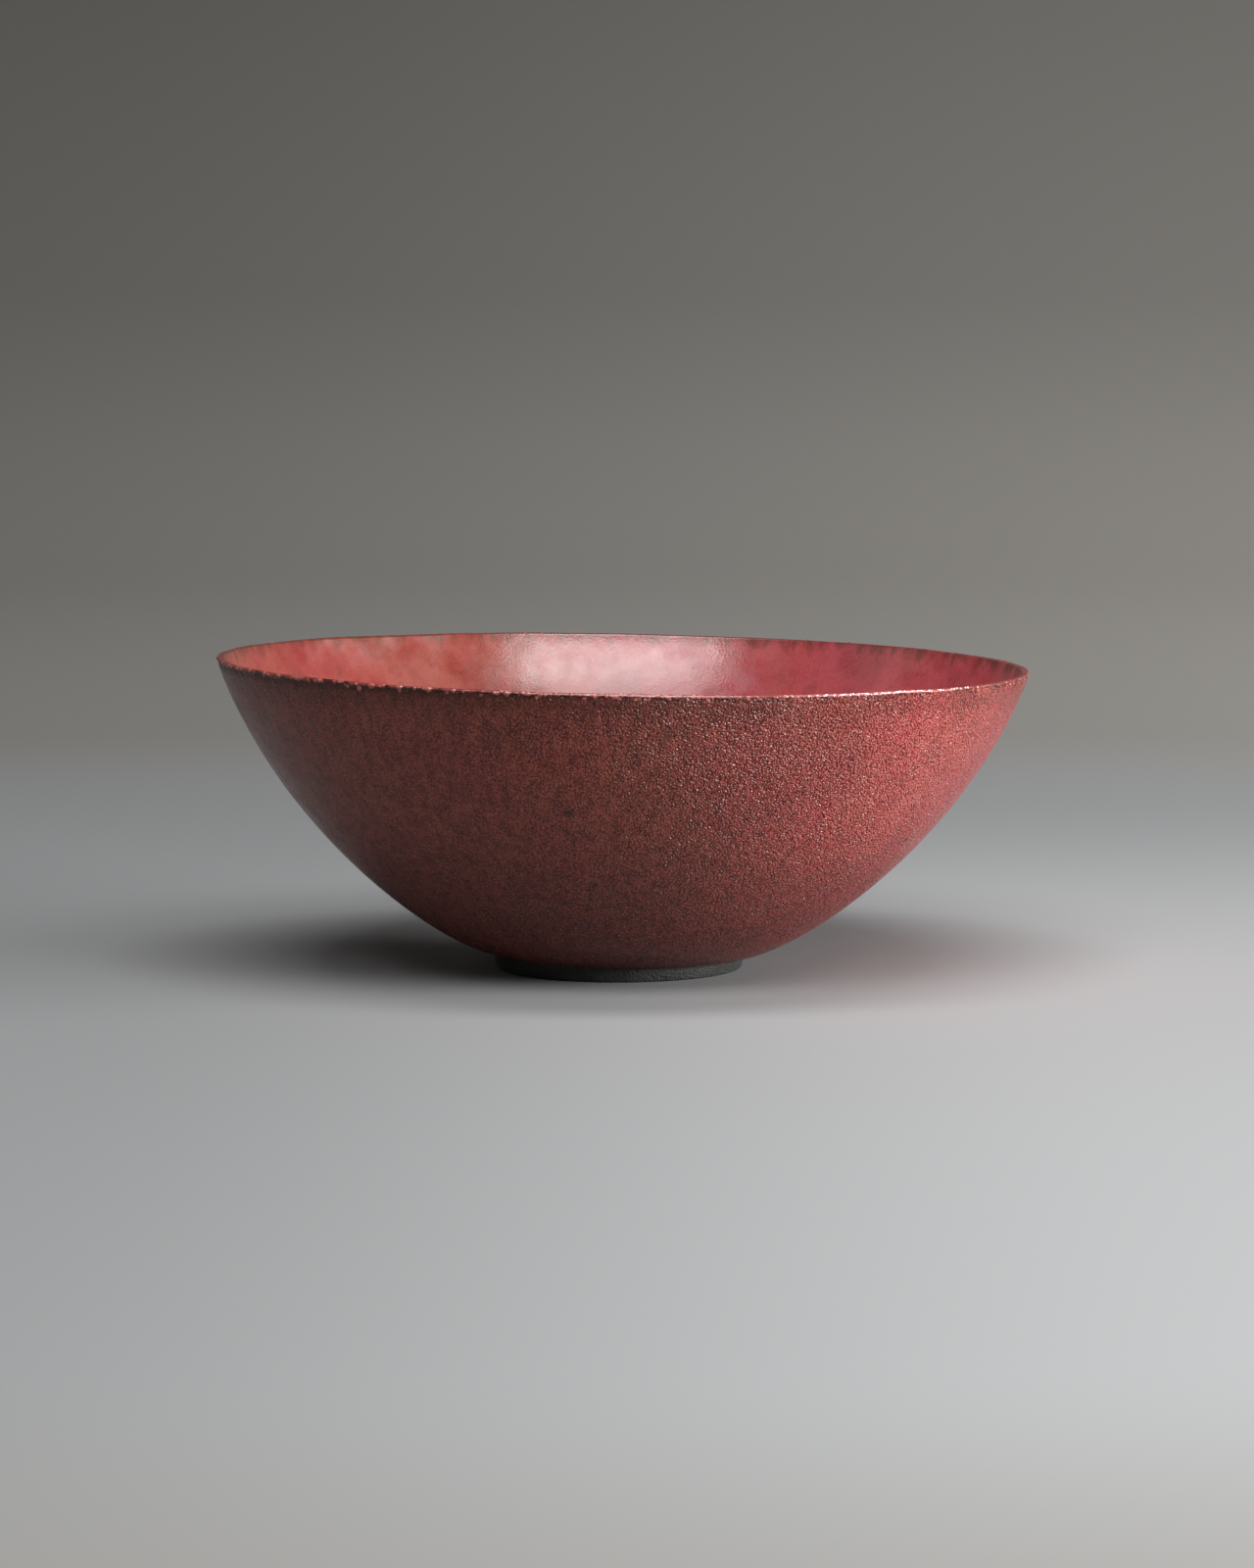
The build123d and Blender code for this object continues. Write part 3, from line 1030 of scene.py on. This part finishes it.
# %% Make the lip
LIP_STEPS = 2688
LIP_BACK_ROWS = 2
SKIN_SHARE = 0.9
lip_outline = [
    *lip_face,
    *walk(clay_inside, clay_inside_length - LIP_BAND, clay_inside_length, LIP_BACK_ROWS),
    *walk(clay_outside, clay_outside_length - LIP_BAND, clay_outside_length, LIP_BACK_ROWS)[::-1],
]
lip_shell = turn(lip_outline, LIP_STEPS)
bead_layer = lip_shell.verts.layers.float.new("bead")
lip_shell.normal_update()
shifts = []
for vert in lip_shell.verts:
    offset = from_lip(vert.co)
    depth = hypot(max(offset.dot(along_lip), 0.0), offset.dot(across_lip))
    if depth > LIP_RADIUS * SKIN_SHARE:
        lift, vert[bead_layer] = raised(vert.co)
        shifts.append((vert, vert.normal * lift + worn(vert.co)))
for vert, shift in shifts:
    vert.co += shift
throw(lip_shell)
for face in lip_shell.faces:
    face.material_index = int(face.normal.z < 0)
finish_piece(lip_shell, "lip_coat", "lip_edge", crest_slip, burnt_slip)

# %% [markdown]
# ## Clay body
#
# The body hides behind its coats, except under the bowl: a narrow strip between foot and coat,
# and the shallow well inside the foot, where the turning tool left rings about two millimetres
# apart. The rings are drawn in the section, so the spin carries them round.

# %% Make the clay body
BODY_ROWS = 40
BODY_STEPS = 256
WELL_POINTS = 90
TOOL_RING = 2.1
TOOL_DEPTH = 0.07
TOOL_FADE = 6.0
underside_height = clay_outside[0].z
groove_height = underside_height + SEAT_DEPTH
groove_inside = FOOT_RADIUS - FOOT_TOP_WIDTH
well_line = []
for i in range(WELL_POINTS + 1):
    share = 1 - i / WELL_POINTS
    ring = TOOL_DEPTH * sin(2 * pi * share * groove_inside / TOOL_RING)
    ring *= min(1, TOOL_FADE * share * (1 - share))
    well_line.append(at(groove_inside * share, WELL_DEPTH + WELL_CROWN * (1 - share ** 2) + ring))
body_outline = [
    *walk(clay_inside, 0.0, clay_inside_length, BODY_ROWS),
    *walk(clay_outside, 0.0, clay_outside_length, BODY_ROWS)[::-1],
    at(FOOT_RADIUS, underside_height),
    at(FOOT_RADIUS, groove_height),
    at(groove_inside, groove_height),
    *well_line,
]
body_shell = turn(body_outline, BODY_STEPS)
throw(body_shell)
finish_piece(body_shell, "clay_body", "dark_clay", bare_clay)

# %% [markdown]
# ## Foot ring
#
# The ring is turned like the rest, but it stands level under a leaning bowl. It is drawn a little
# too deep, with both sides carried on below the table. A plane through the table cuts it, the cut
# is closed again, and a bevel softens its two edges as a wet sponge does.

# %% Make the foot ring
FOOT_STEPS = 512
FOOT_SPARE = 1.5
FOOT_FLARE = 0.1
FOOT_EDGE_ROWS = 3
foot_outline = [
    at(FOOT_RADIUS, groove_height),
    at(FOOT_RADIUS, underside_height),
    at(FOOT_BASE_RADIUS - FOOT_FLARE, -FOOT_SPARE),
    at(FOOT_BASE_RADIUS - FOOT_BASE_WIDTH + FOOT_FLARE, -FOOT_SPARE),
    at(groove_inside, WELL_DEPTH),
    at(groove_inside, groove_height),
]
foot_shell = turn(foot_outline, FOOT_STEPS)
foot_shell.transform(lean)
bmesh.ops.bisect_plane(foot_shell, geom=[*foot_shell.verts, *foot_shell.edges, *foot_shell.faces],
                       plane_co=(0, 0, 0), plane_no=(0, 0, -1), clear_outer=True)
rims = [edge for edge in foot_shell.edges if edge.is_boundary]
bmesh.ops.bridge_loops(foot_shell, edges=rims)
bmesh.ops.bevel(foot_shell, geom=rims, offset=FOOT_EDGE_ROUND, offset_type="OFFSET",
                affect="EDGES", segments=FOOT_EDGE_ROWS, profile=0.5, material=-1)
bmesh.ops.recalc_face_normals(foot_shell, faces=foot_shell.faces)
foot_shell.transform(lean.inverted())
finish_piece(foot_shell, "foot_ring", "dark_clay", bare_clay)

# %% [markdown]
# ## Floor and backdrop
#
# The bowl stands on a plain pale board. It could run out to a far wall, but a camera that walks
# round the bowl would then look past it, so the board is round and curves up on all sides, and
# one spin makes it. Its sizes are in metres.

# %% Make the floor and the backdrop
STAGE_RADIUS = 1.9
STAGE_TOP = 1.3
STAGE_STEPS = 96
COVE_RADIUS = 0.7
COVE_ROWS = 16
cove_turns = [pi / 2 * i / COVE_ROWS for i in range(COVE_ROWS + 1)]
cove_start = STAGE_RADIUS - COVE_RADIUS
stage_outline = [
    at(0, 0),
    *[at(cove_start + COVE_RADIUS * sin(t), COVE_RADIUS - COVE_RADIUS * cos(t)) for t in cove_turns],
    at(STAGE_RADIUS, STAGE_TOP),
]
stage_shell = bmesh.new()
stage_corners = [stage_shell.verts.new(point) for point in stage_outline]
stage_edges = [stage_shell.edges.new(pair) for pair in zip(stage_corners, stage_corners[1:])]
bmesh.ops.spin(stage_shell, geom=stage_corners + stage_edges, cent=(0, 0, 0), axis=(0, 0, 1),
               dvec=(0, 0, 0), angle=2 * pi, steps=STAGE_STEPS, use_merge=True,
               use_normal_flip=False, use_duplicate=False)
bmesh.ops.remove_doubles(stage_shell, verts=stage_shell.verts, dist=WELD)
bmesh.ops.recalc_face_normals(stage_shell, faces=stage_shell.faces)
if min(stage_shell.faces, key=lambda face: face.calc_center_median().z).normal.z < 0:
    bmesh.ops.reverse_faces(stage_shell, faces=stage_shell.faces)
stage_mesh = bpy.data.meshes.new("stage")
stage_shell.to_mesh(stage_mesh)
stage_shell.free()
stage_mesh.shade_smooth()
stage = bpy.data.objects.new("stage", stage_mesh)
bpy.context.scene.collection.objects.link(stage)
print("stage", len(stage_mesh.polygons), "faces")

# %% [markdown]
# The board's paint is matt and has three parts, each painted a little darker towards -X as painted
# shade away from the side window: the floor near the viewer, the floor behind the bowl, which is
# painted darker as a painted fall-off of the light, and the wall, which starts at the soft horizon
# and is painted darker again higher up as painted shade. Two slow changes over the distance are
# painted shade and light that even out what the lamps do to the wall.

# %% Paint the board
# Each pair runs from painted shade at -X to the lit side at +X; the far floor and the high wall are
# painted shade too.
NEAR_FLOOR_PAINT_AND_SHADE = ("#8B8C8D", "#ADAEAF", 0.1)
FAR_FLOOR_PAINTED_SHADE = ("#848586", "#949596", 0.2)
WALL_PAINT_AND_SHADE = ("#9B9994", "#CBC7C1", 0.45)
FAR_SHADE_REACH = (-0.02, 0.3)
WALL_REACH = (0.34, 0.5)
HIGH_SHADE_REACH = (0.05, 0.4)
HIGH_WALL_PAINTED_SHADE = "#C2C2C0"
DIM_REACHES = [(1.2, 0.5), (1.2, 1.6)]
DIM_TONE = "#C9C9C9"
stage_paint, stage_tree, stage_shader = new_material("matt_board", Roughness=0.85)
stage_place = add_node(stage_tree, "ShaderNodeTexCoord").outputs["Object"]
stage_axes = add_node(stage_tree, "ShaderNodeSeparateXYZ", {0: stage_place})
stage_away = add_node(stage_tree, "ShaderNodeVectorMath", {0: stage_place}, operation="LENGTH")
stage_away = stage_away.outputs["Value"]
shades = []
for dark, light, reach in (NEAR_FLOOR_PAINT_AND_SHADE, FAR_FLOOR_PAINTED_SHADE, WALL_PAINT_AND_SHADE):
    shades.append(add_node(stage_tree, "ShaderNodeMix", {
        MIX_FACTOR: grow_along(stage_tree, stage_place, "X", (-reach, reach)),
        MIX_UNDER: linear(dark), MIX_OVER: linear(light),
    }, data_type="RGBA").outputs[MIX_RESULT])
near_floor, far_floor, wall = shades
floor = add_node(stage_tree, "ShaderNodeMix", {
    MIX_FACTOR: grow_along(stage_tree, stage_place, "Y", FAR_SHADE_REACH),
    MIX_UNDER: near_floor, MIX_OVER: far_floor,
}, data_type="RGBA").outputs[MIX_RESULT]
dims = [(stage_away, start, end, DIM_TONE) for start, end in DIM_REACHES]
dims.append((stage_axes.outputs["Z"], *HIGH_SHADE_REACH, HIGH_WALL_PAINTED_SHADE))
for measure, start, end, tone in dims:
    dimmer = add_node(stage_tree, "ShaderNodeMapRange", {
        "Value": measure, "From Min": start, "From Max": end,
    })
    wall = add_node(stage_tree, "ShaderNodeMix", {
        MIX_FACTOR: dimmer, MIX_UNDER: wall, MIX_OVER: linear(tone),
    }, data_type="RGBA", blend_type="MULTIPLY").outputs[MIX_RESULT]
wall_share = add_node(stage_tree, "ShaderNodeMapRange", {
    "Value": stage_away, "From Min": WALL_REACH[0], "From Max": WALL_REACH[1],
}, interpolation_type="SMOOTHSTEP")
stage_colour = add_node(stage_tree, "ShaderNodeMix", {
    MIX_FACTOR: wall_share, MIX_UNDER: floor, MIX_OVER: wall,
}, data_type="RGBA").outputs[MIX_RESULT]
stage_tree.links.new(stage_colour, stage_shader.inputs["Base Color"])
stage_mesh.materials.append(stage_paint)

# %% [markdown]
# ## Light
#
# A wide window stands high on the viewer's side, just where its reflection falls on the polished
# far wall of the hollow: that is the pale patch there. The ceiling sends the rest of the daylight
# straight down. A low window far to the +X side grazes the wall, so that every grain there has
# its own glint and shadow, and a dim card at -X keeps the other side from going black. All four
# are large area lamps, whose light is soft, and the camera doesn't see them. They are set to a
# level at which a colour renders about as it is written. Each is given as degrees round the bowl
# from the viewer, degrees up, distance, width, height and power in watts.

# %% Hang the lamps
LAMPS = {
    "front_window": (4.5, 49.0, 1.6, 1.6, 0.46, 15.5),
    "ceiling_bounce": (0.0, 76.0, 1.6, 1.2, 0.4, 13.5),
    "side_window": (76.0, 10.0, 1.3, 1.1, 0.3, 26.5),
    "left_fill": (-90.0, 30.0, 1.3, 0.7, 0.7, 0.4),
}
LAMP_TARGET = Vector((0, 0, 0.03))
ROOM_STRENGTH = 0.004
for name, (azimuth, elevation, distance, width, height, watts) in LAMPS.items():
    lamp = bpy.data.lights.new(name, "AREA")
    lamp.shape = "RECTANGLE"
    lamp.size = width
    lamp.size_y = height
    lamp.energy = watts
    holder = bpy.data.objects.new(name, lamp)
    around = radians(azimuth)
    up = radians(elevation)
    outward = Vector((sin(around) * cos(up), -cos(around) * cos(up), sin(up)))
    holder.location = LAMP_TARGET + outward * distance
    holder.rotation_euler = outward.to_track_quat("Z", "Y").to_euler()
    holder.visible_camera = False
    bpy.context.scene.collection.objects.link(holder)

world = bpy.data.worlds.new("room")
world.use_nodes = True
room = world.node_tree.nodes["Background"]
room.inputs["Color"].default_value = linear("#FFFFFF")
room.inputs["Strength"].default_value = ROOM_STRENGTH
bpy.context.scene.world = world
print(len(LAMPS), "lamps,", round(sum(lamp[-1] for lamp in LAMPS.values()), 1), "watts in all")

# %% [markdown]
# ## Camera
#
# The viewer sits 0.9 m away with the eyes a little above the bowl, so the mouth shows as a flat
# ellipse and the foot as a thin band. A long lens would flatten the bowl and a short one would
# spread its sides, and 113 mm from this distance is what makes both curves come out right. The
# Standard view shows colours as they are written.

# %% Set the camera
LENS = 113.1
SENSOR_WIDTH = 36.0
CAMERA_PLACE = (0.00055, -0.9042, 0.1244)
CAMERA_TILT = 5.72
camera_data = bpy.data.cameras.new("viewer")
camera_data.lens = LENS
camera_data.sensor_width = SENSOR_WIDTH
camera = bpy.data.objects.new("viewer", camera_data)
camera.location = CAMERA_PLACE
camera.rotation_euler = (radians(90 - CAMERA_TILT), 0, 0)
bpy.context.scene.collection.objects.link(camera)
bpy.context.scene.camera = camera
bpy.context.scene.view_settings.view_transform = "Standard"
